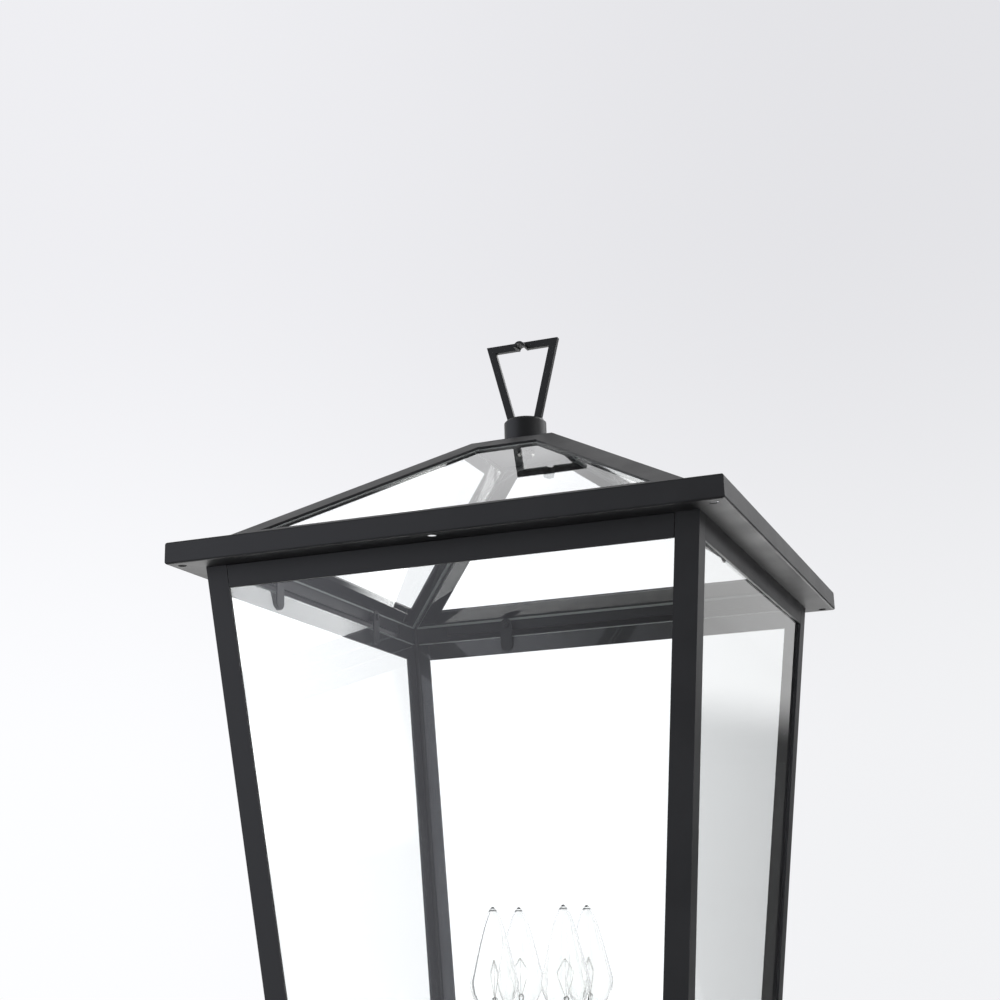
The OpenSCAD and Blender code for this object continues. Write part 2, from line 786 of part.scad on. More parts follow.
eave(0);  // eave_front
eave(1);  // eave_right
eave(2);  // eave_back
eave(3);  // eave_left
roof_rail(0);  // roof_rail_front
roof_rail(1);  // roof_rail_right
roof_rail(2);  // roof_rail_back
roof_rail(3);  // roof_rail_left
hip(0);  // hip_front_right
hip(1);  // hip_back_right
hip(2);  // hip_back_left
hip(3);  // hip_front_left
roof_cap();
corner_brackets();
roof_seals();
roof_glass(0);  // roof_glass_front
roof_glass(1);  // roof_glass_right
roof_glass(2);  // roof_glass_back
roof_glass(3);  // roof_glass_left
header(0);  // header_front
header(1);  // header_right
header(2);  // header_back
header(3);  // header_left
post(0);  // post_front_right
post(1);  // post_back_right
post(2);  // post_back_left
post(3);  // post_front_left
side_glass(0);  // side_glass_front
side_glass(1);  // side_glass_right
side_glass(2);  // side_glass_back
side_glass(3);  // side_glass_left
clip(0, -1);  // clip_front_1
clip(0, 1);  // clip_front_2
clip(1, -1);  // clip_right_1
clip(1, 1);  // clip_right_2
clip(2, -1);  // clip_back_1
clip(2, 1);  // clip_back_2
clip(3, -1);  // clip_left_1
clip(3, 1);  // clip_left_2
clip_screws();
bottom_rail(0);  // bottom_rail_front
bottom_rail(1);  // bottom_rail_right
bottom_rail(2);  // bottom_rail_back
bottom_rail(3);  // bottom_rail_left
glass_stops();
hub();
hanging_loop();
chain_seat();
wiring_tube();
lock_nut();
wire_bushings();
cross_bar();
bar_fixings();
wiring_pan();
candle_cups();
candle_sleeves();
lamp_sockets();
bulb_caps();
bulb_glass();
lead_wire();
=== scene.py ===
import json
import math

import bmesh
import bpy
from mathutils import Matrix, Vector


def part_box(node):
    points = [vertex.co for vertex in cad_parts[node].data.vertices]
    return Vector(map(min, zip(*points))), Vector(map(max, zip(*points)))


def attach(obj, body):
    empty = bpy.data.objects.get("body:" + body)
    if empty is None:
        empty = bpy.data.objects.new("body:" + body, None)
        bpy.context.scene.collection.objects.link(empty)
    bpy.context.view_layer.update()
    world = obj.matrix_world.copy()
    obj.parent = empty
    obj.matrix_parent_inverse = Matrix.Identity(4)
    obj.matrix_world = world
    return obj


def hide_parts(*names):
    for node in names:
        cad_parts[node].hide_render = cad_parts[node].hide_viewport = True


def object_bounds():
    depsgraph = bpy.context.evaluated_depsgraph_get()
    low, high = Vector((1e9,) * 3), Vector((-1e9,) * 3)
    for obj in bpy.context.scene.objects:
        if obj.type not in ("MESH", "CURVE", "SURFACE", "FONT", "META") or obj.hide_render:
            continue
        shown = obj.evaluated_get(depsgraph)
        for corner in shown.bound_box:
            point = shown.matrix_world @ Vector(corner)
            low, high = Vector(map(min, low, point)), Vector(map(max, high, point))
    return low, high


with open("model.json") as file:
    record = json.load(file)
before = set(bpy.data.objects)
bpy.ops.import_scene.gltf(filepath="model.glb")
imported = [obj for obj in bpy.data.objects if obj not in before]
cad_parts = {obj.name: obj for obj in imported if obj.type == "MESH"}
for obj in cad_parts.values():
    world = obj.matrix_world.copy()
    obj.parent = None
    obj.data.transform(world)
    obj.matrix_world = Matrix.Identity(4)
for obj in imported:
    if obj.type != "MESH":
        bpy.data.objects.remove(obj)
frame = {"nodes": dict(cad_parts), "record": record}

cadLow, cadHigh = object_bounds()
nodes = frame["nodes"]
rootBody = "lantern"
mm = 0.001
hangHeight = 196.0      # mm from the underside of the eave up to the middle of the chain seat
print("frame loaded:", len(nodes), "nodes")


# camera: the place and the angles that were solved from the photograph's own edges

cameraSettings = {
    "place": (0.4044, -1.1344, -0.4509),
    "yaw": 20.648,      # degrees, turned to the left of +Y
    "pitch": 15.191,    # degrees above the horizon
    "roll": -1.512,
    "lens": 57.405,     # mm on the sensor below
    "sensor": 36,
    "clip": (0.01, 50),
}


def makeCamera(s):
    yaw, pitch, roll = (math.radians(s[k]) for k in ("yaw", "pitch", "roll"))
    ahead = Vector((-math.sin(yaw) * math.cos(pitch), math.cos(yaw) * math.cos(pitch), math.sin(pitch)))
    right = Vector((math.cos(yaw), math.sin(yaw), 0))
    up = right.cross(ahead)
    tiltedRight = math.cos(roll) * right + math.sin(roll) * up
    tiltedUp = math.cos(roll) * up - math.sin(roll) * right
    turn = Matrix((tiltedRight, tiltedUp, -ahead)).transposed()
    data = bpy.data.cameras.new("photo_camera")
    data.lens = s["lens"]
    data.sensor_width = s["sensor"]
    data.clip_start, data.clip_end = s["clip"]
    camera = bpy.data.objects.new("photo_camera", data)
    camera.matrix_world = Matrix.Translation(s["place"]) @ turn.to_4x4()
    bpy.context.scene.collection.objects.link(camera)
    bpy.context.scene.camera = camera
    return right


acrossView = makeCamera(cameraSettings)
print("camera placed")


# small helpers for node trees: a value is either another node's output or a plain number or colour

def plug(tree, socket, value):
    if isinstance(value, bpy.types.NodeSocket):
        tree.links.new(value, socket)
    else:
        socket.default_value = value


def maths(tree, operation, *values, kind="ShaderNodeMath"):
    node = tree.nodes.new(kind)
    node.operation = operation
    for socket, value in zip(node.inputs, values):
        plug(tree, socket, value)
    return node.outputs


def number(tree, operation, *values):
    return maths(tree, operation, *values)[0]


def vector(tree, operation, *values):
    return maths(tree, operation, *values, kind="ShaderNodeVectorMath")["Vector"]


def measure(tree, operation, *values):
    # a number from vectors: a length, or how far two directions agree
    return maths(tree, operation, *values, kind="ShaderNodeVectorMath")["Value"]


def mixColours(tree, share, first, second):
    node = tree.nodes.new("ShaderNodeMix")
    node.data_type = "RGBA"
    for k, value in ((0, share), (6, first), (7, second)):      # the node's sockets for the share and two colours
        plug(tree, node.inputs[k], value)
    return node.outputs[2]


def mixShaders(tree, share, first, second):
    node = tree.nodes.new("ShaderNodeMixShader")
    for socket, value in zip(node.inputs, (share, first, second)):
        plug(tree, socket, value)
    return node.outputs[0]


def mapValue(tree, source, fromRange, toRange, smooth=False):
    node = tree.nodes.new("ShaderNodeMapRange")
    node.interpolation_type = "SMOOTHSTEP" if smooth else "LINEAR"
    plug(tree, node.inputs["Value"], source)
    node.inputs["From Min"].default_value, node.inputs["From Max"].default_value = fromRange
    node.inputs["To Min"].default_value, node.inputs["To Max"].default_value = toRange
    return node.outputs["Result"]


def noiseAt(tree, scale, detail=2.0, grain=0.5, stretch=(1, 1, 1)):
    place = tree.nodes.new("ShaderNodeTexCoord")
    fitted = tree.nodes.new("ShaderNodeMapping")
    fitted.inputs["Scale"].default_value = stretch
    noise = tree.nodes.new("ShaderNodeTexNoise")
    noise.inputs["Scale"].default_value = scale
    noise.inputs["Detail"].default_value = detail
    noise.inputs["Roughness"].default_value = grain
    tree.links.new(place.outputs["Object"], fitted.inputs["Vector"])
    tree.links.new(fitted.outputs["Vector"], noise.inputs["Vector"])
    return noise.outputs["Fac"]


def bumpFrom(tree, shader, height, distance, strength):
    node = tree.nodes.new("ShaderNodeBump")
    node.inputs["Strength"].default_value = strength
    node.inputs["Distance"].default_value = distance
    plug(tree, node.inputs["Height"], height)
    tree.links.new(node.outputs["Normal"], shader.inputs["Normal"])


edgeFinding = {
    "samples": 6,
    "agreement": (1.0, 0.86),   # of the rounded and the true normal, on a flat face and on a full edge
}


def edgeShare(tree, radius, s=edgeFinding):
    # 0 on flat faces and towards 1 on edges
    rounded = tree.nodes.new("ShaderNodeBevel")
    rounded.samples = s["samples"]
    rounded.inputs["Radius"].default_value = radius
    shape = tree.nodes.new("ShaderNodeNewGeometry")
    agreement = measure(tree, "DOT_PRODUCT", rounded.outputs["Normal"], shape.outputs["Normal"])
    return mapValue(tree, agreement, s["agreement"], (0.0, 1.0))


def newMaterial(name):
    material = bpy.data.materials.new(name)
    material.use_nodes = True
    tree = material.node_tree
    return material, tree, tree.nodes["Principled BSDF"]


def showOn(tree, shading, output="Material Output"):
    tree.links.new(shading, tree.nodes[output].inputs["Surface"])


# powder coat: near black, satin, with the fine orange peel and the faint cloudiness of a baked coat

powderCoat = {
    "colour": (0.0095, 0.0098, 0.0108, 1),
    "cloudColour": (0.0140, 0.0144, 0.0158, 1),
    "edgeColour": (0.046, 0.046, 0.048, 1),     # where handling has polished the coat thin
    "cloudScale": 21,
    "cloudDetail": 5,
    "cloudGrain": 0.6,
    "cloudFrom": (0.35, 0.68),      # values of the noise between which one colour goes over into the other
    "peelScale": 1000,
    "peelHeight": 0.00006,
    "peelStrength": 0.5,
    "roughness": (0.40, 0.50),
    "roughFrom": (0.3, 0.7),
    "edgeRadius": 0.0005,
    "edgeWear": 0.35,
    "wearFineness": 9,              # patches of wear are this much finer than the clouds
    "wearDetail": 3,
    "wearFrom": (0.42, 0.62),
    "gloss": 0.5,
}
forgedCoat = {**powderCoat, "roughness": (0.42, 0.52), "edgeWear": 0.2, "gloss": 0.42}
clipCoat = {**powderCoat, "edgeWear": 0.6, "cloudScale": 60}


def coatedMetal(name, s):
    material, tree, shader = newMaterial(name)
    cloud = noiseAt(tree, s["cloudScale"], s["cloudDetail"], s["cloudGrain"])
    body = mixColours(tree, mapValue(tree, cloud, s["cloudFrom"], (0, 1)), s["colour"], s["cloudColour"])
    fine = noiseAt(tree, s["cloudScale"] * s["wearFineness"], s["wearDetail"])
    patches = mapValue(tree, fine, s["wearFrom"], (0, s["edgeWear"]))
    worn = number(tree, "MULTIPLY", edgeShare(tree, s["edgeRadius"]), patches)
    plug(tree, shader.inputs["Base Color"], mixColours(tree, worn, body, s["edgeColour"]))
    plug(tree, shader.inputs["Roughness"], mapValue(tree, cloud, s["roughFrom"], s["roughness"]))
    bumpFrom(tree, shader, noiseAt(tree, s["peelScale"]), s["peelHeight"], s["peelStrength"])
    shader.inputs["Specular IOR Level"].default_value = s["gloss"]
    return material


# plated metal: bright, duller in the patches where it has been handled, with fine turning marks

nickelPlate = {
    "colour": (0.66, 0.65, 0.62, 1),
    "dullColour": (0.46, 0.45, 0.42, 1),
    "spotScale": 260,
    "spotDetail": 4,
    "spotGrain": 0.6,
    "spotFrom": (0.4, 0.66),
    "roughness": (0.16, 0.34),
    "roughFrom": (0.32, 0.7),
    "marksScale": 2600,
    "marksDetail": 1,
    "marksStretch": (0.12, 0.12, 1),
    "marksHeight": 0.00002,
    "marksStrength": 0.4,
}
zincPlate = {
    **nickelPlate,
    "colour": (0.58, 0.60, 0.62, 1),
    "dullColour": (0.36, 0.37, 0.38, 1),
    "roughness": (0.28, 0.46),
}
bulbBrass = {
    **nickelPlate,
    "colour": (0.80, 0.62, 0.33, 1),
    "dullColour": (0.52, 0.37, 0.17, 1),
    "spotScale": 180,
}


def platedMetal(name, s):
    material, tree, shader = newMaterial(name)
    spots = noiseAt(tree, s["spotScale"], s["spotDetail"], s["spotGrain"])
    dull = mapValue(tree, spots, s["spotFrom"], (0, 1))
    plug(tree, shader.inputs["Base Color"], mixColours(tree, dull, s["colour"], s["dullColour"]))
    plug(tree, shader.inputs["Roughness"], mapValue(tree, spots, s["roughFrom"], s["roughness"]))
    shader.inputs["Metallic"].default_value = 1
    marks = noiseAt(tree, s["marksScale"], s["marksDetail"], stretch=s["marksStretch"])
    bumpFrom(tree, shader, marks, s["marksHeight"], s["marksStrength"])
    return material


# plastics, rubber and glazed porcelain: a mottled body colour, its gloss and its own fine relief

candleFibre = {
    "colour": (0.0120, 0.0120, 0.0125, 1),
    "spotColour": (0.0230, 0.0225, 0.0220, 1),
    "spotScale": 90,
    "spotDetail": 5,
    "spotGrain": 0.62,
    "spotFrom": (0.42, 0.7),
    "roughness": (0.40, 0.56),
    "roughFrom": (0.3, 0.7),
    "reliefScale": 1100,
    "reliefHeight": 0.00003,
    "reliefStrength": 0.5,
    "stretch": (1, 1, 0.12),    # the grain of the tube runs up and down
    "glaze": 0,
}
bushRubber = {
    **candleFibre,
    "colour": (0.020, 0.020, 0.021, 1),
    "spotColour": (0.042, 0.041, 0.040, 1),
    "roughness": (0.62, 0.82),
    "stretch": (1, 1, 1),
}
wireJacket = {
    **bushRubber,
    "colour": (0.010, 0.010, 0.011, 1),
    "spotColour": (0.019, 0.019, 0.020, 1),
    "roughness": (0.34, 0.48),
}
porcelain = {
    **bushRubber,
    "colour": (0.74, 0.69, 0.58, 1),
    "spotColour": (0.66, 0.59, 0.46, 1),
    "spotScale": 150,
    "roughness": (0.20, 0.34),
    "reliefScale": 420,
    "glaze": 0.5,
}


def mouldedPart(name, s):
    material, tree, shader = newMaterial(name)
    spots = noiseAt(tree, s["spotScale"], s["spotDetail"], s["spotGrain"], s["stretch"])
    mottle = mapValue(tree, spots, s["spotFrom"], (0, 1))
    plug(tree, shader.inputs["Base Color"], mixColours(tree, mottle, s["colour"], s["spotColour"]))
    plug(tree, shader.inputs["Roughness"], mapValue(tree, spots, s["roughFrom"], s["roughness"]))
    relief = noiseAt(tree, s["reliefScale"], stretch=s["stretch"])
    bumpFrom(tree, shader, relief, s["reliefHeight"], s["reliefStrength"])
    shader.inputs["Coat Weight"].default_value = s["glaze"]
    return material


# clear float glass: almost no colour, a little green in its depth, and a trace of wiping marks;
# the thin panes show what is behind them unbent, and mirror as both of their faces do together

paneGlass = {
    "colour": (0.993, 0.998, 0.996, 1),
    "rimTintAndPaintedGlint": (0.84, 0.90, 0.88, 1),         # the ground rim, painted pale: a painted glint for the light that the glass carries out through its edge
    "rimRoughness": 0.5,
    "rimCover": 0.42,
    "index": 1.52,
    "smearScale": 9,
    "smearDetail": 6,
    "smearGrain": 0.65,
    "smearFrom": (0.56, 0.8),
    "smearRoughness": (0.0, 0.005),
    "steeper": 1.0,             # above 1, the mirror layer leans more than the pane, by this share of its slope
}
roofGlass = {**paneGlass, "smearScale": 6, "steeper": 1.054}
# clear sealant: a thin bed that can't be told from the glass, with a cloudy edge smoothed with a finger
sealant = {
    **paneGlass,
    "colour": (0.97, 0.975, 0.98, 1),
    "rimTintAndPaintedGlint": (0.72, 0.73, 0.75, 1),
    "rimCover": 0.16,
    "index": 1.12,
    "smearScale": 40,
    "smearRoughness": (0.05, 0.12),
}


def smearOn(tree, s):
    marks = noiseAt(tree, s["smearScale"], s["smearDetail"], s["smearGrain"])
    return mapValue(tree, marks, s["smearFrom"], s["smearRoughness"])


def thinPane(name, s):
    material, tree, shader = newMaterial(name)
    mark = tree.nodes.new("ShaderNodeAttribute")
    mark.attribute_name = "rim"
    rim = mark.outputs["Fac"]
    # a mirror layer alone on the flat sides, with its strength from the angle; a matt pale colour on the rim,
    # which on a pane is a painted glint of the light coming out through its edge and on sealant is its cloudy edge
    ground = number(tree, "MULTIPLY", rim, s["rimRoughness"])
    plug(tree, shader.inputs["Roughness"], number(tree, "MAXIMUM", smearOn(tree, s), ground))
    plug(tree, shader.inputs["Base Color"], mixColours(tree, rim, (1, 1, 1, 1), s["rimTintAndPaintedGlint"]))
    plug(tree, shader.inputs["Metallic"], number(tree, "SUBTRACT", 1.0, rim))
    through = tree.nodes.new("ShaderNodeBsdfTransparent")
    through.inputs["Color"].default_value = s["colour"]
    angle = tree.nodes.new("ShaderNodeFresnel")
    angle.inputs["IOR"].default_value = s["index"]
    one = angle.outputs["Fac"]
    both = number(tree, "DIVIDE", number(tree, "MULTIPLY", one, 2.0), number(tree, "ADD", one, 1.0))
    shape = tree.nodes.new("ShaderNodeNewGeometry")
    outside = number(tree, "SUBTRACT", 1.0, shape.outputs["Backfacing"])
    if s["steeper"] != 1:
        leaning = vector(tree, "MULTIPLY", shape.outputs["Normal"], (s["steeper"], s["steeper"], 1))
        plug(tree, shader.inputs["Normal"], vector(tree, "NORMALIZE", leaning))
    mirrored = number(tree, "MULTIPLY", both, outside)
    # the rim's share of that pale colour: a painted glint on the panes, the cloudiness on the sealant
    covered = number(tree, "MULTIPLY", rim, s["rimCover"])
    share = number(tree, "MAXIMUM", mirrored, covered)
    showOn(tree, mixShaders(tree, share, through.outputs[0], shader.outputs[0]))
    return material


# blown glass of the bulbs, which bends what is behind it

bulbGlass = {
    "colour": (0.992, 0.995, 0.990, 1),
    "rimTintAndPaintedGlint": (0.97, 0.98, 0.97, 1),
    "rimRadius": 0.0002,
    "index": 1.50,
    "smearScale": 60,
    "smearDetail": 6,
    "smearGrain": 0.65,
    "smearFrom": (0.56, 0.8),
    "smearRoughness": (0.0, 0.02),
}


def clearGlass(name, s):
    material, tree, shader = newMaterial(name)
    rim = edgeShare(tree, s["rimRadius"])
    plug(tree, shader.inputs["Base Color"], mixColours(tree, rim, s["colour"], s["rimTintAndPaintedGlint"]))
    plug(tree, shader.inputs["Roughness"], smearOn(tree, s))
    shader.inputs["IOR"].default_value = s["index"]
    shader.inputs["Transmission Weight"].default_value = 1
    # light goes straight through to the sleeves and the filaments, so the bulbs cast no dark shadow
    ray = tree.nodes.new("ShaderNodeLightPath").outputs
    lightOnly = number(tree, "MAXIMUM", ray["Is Shadow Ray"], ray["Is Diffuse Ray"])
    straight = tree.nodes.new("ShaderNodeBsdfTransparent").outputs[0]
    showOn(tree, mixShaders(tree, lightOnly, shader.outputs[0], straight))
    return material


materials = {
    "powder_coat": coatedMetal("powder_coat", powderCoat),
    "forged_black": coatedMetal("forged_black", forgedCoat),
    "clip_black": coatedMetal("clip_black", clipCoat),
    "clear_glass": thinPane("clear_glass", paneGlass),
    "roof_pane_glass": thinPane("roof_pane_glass", roofGlass),
    "clear_sealant": thinPane("clear_sealant", sealant),
    "nickel_plate": platedMetal("nickel_plate", nickelPlate),
    "zinc_screw": platedMetal("zinc_screw", zincPlate),
    "bulb_brass": platedMetal("bulb_brass", bulbBrass),
    "bush_rubber": mouldedPart("bush_rubber", bushRubber),
    "candle_black": mouldedPart("candle_black", candleFibre),
    "socket_porcelain": mouldedPart("socket_porcelain", porcelain),
    "bulb_clear": clearGlass("bulb_clear", bulbGlass),
    "wire_pvc": mouldedPart("wire_pvc", wireJacket),
}
print("materials made:", len(materials))


# placing helpers

def bodyOf(node):
    for body, members in frame["record"]["behaviour"]["bodies"].items():
        if node in members:
            return body


def slotOf(node):
    return next(p["material_slot"] for p in frame["record"]["subparts"] if p["node"] == node)


def addPiece(name, mesh, slot, body=rootBody, replaced=(), sharpAngle=0):
    mesh.materials.clear()
    mesh.materials.append(materials[slot])
    for face in mesh.polygons:
        face.use_smooth = True
    if sharpAngle:
        mesh.set_sharp_from_angle(angle=math.radians(sharpAngle))
    piece = bpy.data.objects.new(name, mesh)
    bpy.context.scene.collection.objects.link(piece)
    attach(piece, body)
    if replaced:
        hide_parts(*replaced)
    return piece


def softenEdges(piece, width, segments=2, angle=28):
    bevel = piece.modifiers.new("soft_edges", "BEVEL")
    bevel.width = width
    bevel.segments = segments
    bevel.limit_method = "ANGLE"
    bevel.angle_limit = math.radians(angle)
    shading = piece.modifiers.new("flat_faces", "WEIGHTED_NORMAL")     # wide faces stay flat beside the edges
    shading.mode = "FACE_AREA"
    shading.weight = 100


# every metal and glass piece of the frame keeps the shape of its node and gets the soft edges of the real one

edgeWidths = {      # metres, by the start of the node's name; the longest name that fits wins
    "eave": 0.00016,
    "roof_rail": 0.0004,
    "roof_cap": 0.0005,
    "roof_seals": 0.00025,
    "roof_glass": 0.0004,
    "side_glass": 0.0004,
    "hip": 0.0004,
    "header": 0.0004,
    "post": 0.0004,
    "bottom_rail": 0.0003,
    "glass_stops": 0.0003,
    "corner_brackets": 0.0003,
    "clip": 0.0002,
    "clip_screws": 0.00012,
    "hub": 0.0006,
    "hanging_loop": 0.0004,
    "cross_bar": 0.0004,
    "bar_fixings": 0.0002,
    "wiring_pan": 0.0003,
    "candle_cups": 0.0002,
    "candle_sleeves": 0.0002,
}
finishing = {
    "weld": 1e-6,           # points closer than this become one
    "flatAngle": 0.5,       # degrees, faces that turn less become one
    "sharpAngle": 30,       # degrees, for pieces that get no soft edges
    "foldRadius": 0.001,    # the eave's lower fold
    "foldSegments": 4,
    "foldReach": 1e-5,
    "rimTurn": 0.05,        # a rim's normal differs at least this much in height from a wide side's
}
builtAnew = ("bulb_glass", "lock_nut", "wiring_tube")


def markRims(mesh, s):
    # 1 on the narrow faces that stand across the wide sides of a pane or a bed of sealant
    wide = max(mesh.polygons, key=lambda face: face.area).normal
    marks = [float(abs(abs(face.normal.z) - abs(wide.z)) > s["rimTurn"]) for face in mesh.polygons]
    mesh.attributes.new("rim", "FLOAT", "FACE").data.foreach_set("value", marks)


def roundFold(work, s):
    # the long lower edge of an eave side, where the outer face is folded up from the soffit
    low = min(v.co.z for v in work.verts) + s["foldReach"]
    far = max(max(abs(v.co.x), abs(v.co.y)) for v in work.verts) - s["foldReach"]
    folds = [edge for edge in work.edges
             if all(v.co.z < low and max(abs(v.co.x), abs(v.co.y)) > far for v in edge.verts)]
    bmesh.ops.bevel(work, geom=folds, offset=s["foldRadius"], segments=s["foldSegments"], profile=0.5,
                    affect="EDGES", clamp_overlap=True)


def cleanMesh(node, s):
    mesh = nodes[node].data.copy()
    work = bmesh.new()
    work.from_mesh(mesh)
    bmesh.ops.remove_doubles(work, verts=work.verts, dist=s["weld"])
    bmesh.ops.dissolve_limit(work, angle_limit=math.radians(s["flatAngle"]), verts=work.verts, edges=work.edges)
    if node.startswith("eave"):
        roundFold(work, s)
    work.to_mesh(mesh)
    work.free()
    if "glass" in node or node == "roof_seals":
        markRims(mesh, s)
    return mesh


def dressNode(node, s):
    named = max((name for name in edgeWidths if node.startswith(name)), key=len, default=None)
    mesh = cleanMesh(node, s)
    if named:
        softenEdges(addPiece(node + "_finish", mesh, slotOf(node), bodyOf(node), [node]), edgeWidths[named])
    else:
        addPiece(node + "_finish", mesh, slotOf(node), bodyOf(node), [node], s["sharpAngle"])


for node in nodes:
    if node not in builtAnew:
        dressNode(node, finishing)
print("frame dressed")


# mesh makers for the turned and swept pieces, which are measured in mm

def aboveEave(x, y, z):
    # a point with its height in mm above the underside of the eave, put into the frame's metres
    return Vector((x, y, z - hangHeight)) * mm


def heightsOf(box):
    # the lowest and the highest point of a node's box, in mm above the underside of the eave
    return [corner[2] / mm + hangHeight for corner in box]


def ringFaces(rings, sides, start=0, closed=True, turned=False):
    # quads between each ring of points and the next; closed joins the last ring to the first
    faces = []
    for k in range(rings if closed else rings - 1):
        here, there = start + k * sides, start + (k + 1) % rings * sides
        for j in range(sides):
            step = (j + 1) % sides
            if turned:
                faces.append((here + j, there + j, there + step, here + step))
            else:
                faces.append((here + j, here + step, there + step, there + j))
    return faces


def meshFrom(name, points, faces):
    mesh = bpy.data.meshes.new(name)
    mesh.from_pydata([tuple(p) for p in points], [], faces)
    mesh.validate()
    mesh.update()
    return mesh


def turnedMesh(profile, places, sides):
    # a closed ring of (radius, height above the eave), turned about an upright axis at each place
    points, faces = [], []
    for x, y in places:
        faces += ringFaces(sides, len(profile), len(points), turned=True)
        for k in range(sides):
            a = 2 * math.pi * k / sides
            points += [aboveEave(x + r * math.cos(a), y + r * math.sin(a), z) for r, z in profile]
    return points, faces


def solidFrom(name, points, faces, weld=2e-6):
    # points that lie together, as on a turned piece's axis, become one, and all faces look outward
    mesh = meshFrom(name, points, faces)
    work = bmesh.new()
    work.from_mesh(mesh)
    bmesh.ops.remove_doubles(work, verts=work.verts, dist=weld)
    bmesh.ops.recalc_face_normals(work, faces=work.faces)
    work.to_mesh(mesh)
    work.free()
    return mesh


def sweptTube(route, radii, sides, closed=False):
    # a round tube along points in mm, each ring square to the way from its neighbour before to the one after
    points = []
    count = len(route)
    across = None
    for k, place in enumerate(route):
        before = route[k - 1] if closed or k else route[0]
        after = route[(k + 1) % count] if closed or k < count - 1 else route[-1]
        along = (after - before).normalized()
        if across is None:
            across = along.orthogonal().normalized()
        across = (across - across.dot(along) * along).normalized()
        up = along.cross(across)
        for j in range(sides):
            a = 2 * math.pi * j / sides
            points.append((place + radii[k] * (math.cos(a) * across + math.sin(a) * up)) * mm)
    faces = ringFaces(count, sides, closed=closed)
    if not closed:
        faces.append(tuple(range(sides - 1, -1, -1)))
        faces.append(tuple(range((count - 1) * sides, count * sides)))
    return points, faces


def joined(parts):
    points, faces = [], []
    for morePoints, moreFaces in parts:
        start = len(points)
        points += morePoints
        faces += [tuple(start + k for k in face) for face in moreFaces]
    return points, faces


# wiring tube: a threaded pipe, cut in mesh as one helical ridge

tubeThread = {
    "radius": 4.9,
    "bore": 3.4,
    "pitch": 1.0,
    "depth": 0.45,
    "chamfer": 0.8,     # the length over which the thread runs out at either end
    "sides": 36,
    "rowsPerTurn": 6,
}


def makeThreadedTube(s, low, high):
    sides = s["sides"]
    rows = round((high - low) / s["pitch"] * s["rowsPerTurn"])
    points = []
    for k in range(rows + 1):
        z = low + (high - low) * k / rows
        fade = min(1, (z - low) / s["chamfer"], (high - z) / s["chamfer"])
        for j in range(sides):
            turn = j / sides
            phase = ((z - low) / s["pitch"] - turn) % 1
            ridge = 1 - abs(2 * phase - 1)
            r = s["radius"] - s["depth"] * (1 - ridge * max(fade, 0))
            a = 2 * math.pi * turn
            points.append(aboveEave(r * math.cos(a), r * math.sin(a), z))
    for z in (high, low):
        for j in range(sides):
            a = 2 * math.pi * j / sides
            points.append(aboveEave(s["bore"] * math.cos(a), s["bore"] * math.sin(a), z))
    mesh = solidFrom("wiring_tube_thread", points, ringFaces(rows + 3, sides))
    addPiece("wiring_tube_thread", mesh, "nickel_plate", replaced=["wiring_tube"])


# lock nut: a thin ring with a milled grip

lockNut = {
    "radius": 7.0,
    "hole": 5.0,
    "grips": 32,
    "gripDepth": 0.28,
    "stepsPerGrip": 6,
    "chamfer": 0.6,
    "topChamfer": 0.4,
    "softEdge": 0.00012,
    "softAngle": 35,
}


def makeLockNut(s, low, high):
    sides = s["grips"] * s["stepsPerGrip"]
    radius, hole, foot, top = s["radius"], s["hole"], s["chamfer"], s["topChamfer"]
    # radius, height, and 1 where the grip is milled
    profile = [(hole, low, 0), (radius - foot, low, 0), (radius, low + foot, 1),
               (radius, high - top, 1), (radius - top, high, 0), (hole, high, 0)]
    points = []
    for k in range(sides):
        a = 2 * math.pi * k / sides
        dip = s["gripDepth"] * (0.5 - 0.5 * math.cos(s["grips"] * a)) ** 2
        points += [aboveEave((r - dip * grip) * math.cos(a), (r - dip * grip) * math.sin(a), z)
                   for r, z, grip in profile]
    mesh = solidFrom("lock_nut_grip", points, ringFaces(sides, len(profile), turned=True))
    piece = addPiece("lock_nut_grip", mesh, "nickel_plate", replaced=["lock_nut"])
    softenEdges(piece, s["softEdge"], 1, s["softAngle"])


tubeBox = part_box("wiring_tube")
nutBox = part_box("lock_nut")
makeThreadedTube(tubeThread, *heightsOf(tubeBox))
makeLockNut(lockNut, *heightsOf(nutBox))
print("wiring tube and lock nut made")


# weld beads where the loop's feet stand on the hub: short overlapping scales round each foot

loopWelds = {
    "radius": 0.95,
    "scales": 26,       # ripples round one foot
    "ripple": 0.16,
    "height": -59.9,    # mm from the chain seat down to the top of the hub
    "outer": 13.7,
    "inner": 7.55,
    "halfDepth": 2.25,
    "steps": 18,        # points along each side of a foot
    "sides": 10,
}


def makeLoopWelds(s):
    steps = s["steps"]
    parts = []
    for side in (-1, 1):
        corners = [(s["outer"], -s["halfDepth"]), (s["outer"], s["halfDepth"]),
                   (s["inner"], s["halfDepth"]), (s["inner"], -s["halfDepth"])]
        route = []
        for (x, y), (nextX, nextY) in zip(corners, corners[1:] + corners[:1]):
            route += [Vector((side * (x + (nextX - x) * t / steps), y + (nextY - y) * t / steps, s["height"]))
                      for t in range(steps)]
        radii = [s["radius"] * (1 + s["ripple"] * math.sin(2 * math.pi * s["scales"] * k / len(route)))
                 for k in range(len(route))]
        parts.append(sweptTube(route, radii, s["sides"], closed=True))
    addPiece("loop_welds", solidFrom("loop_welds", *joined(parts)), "forged_black")


makeLoopWelds(loopWelds)
print("loop welds made")


# bulbs: blown envelopes with a glass mount, lead wires and a coiled filament inside

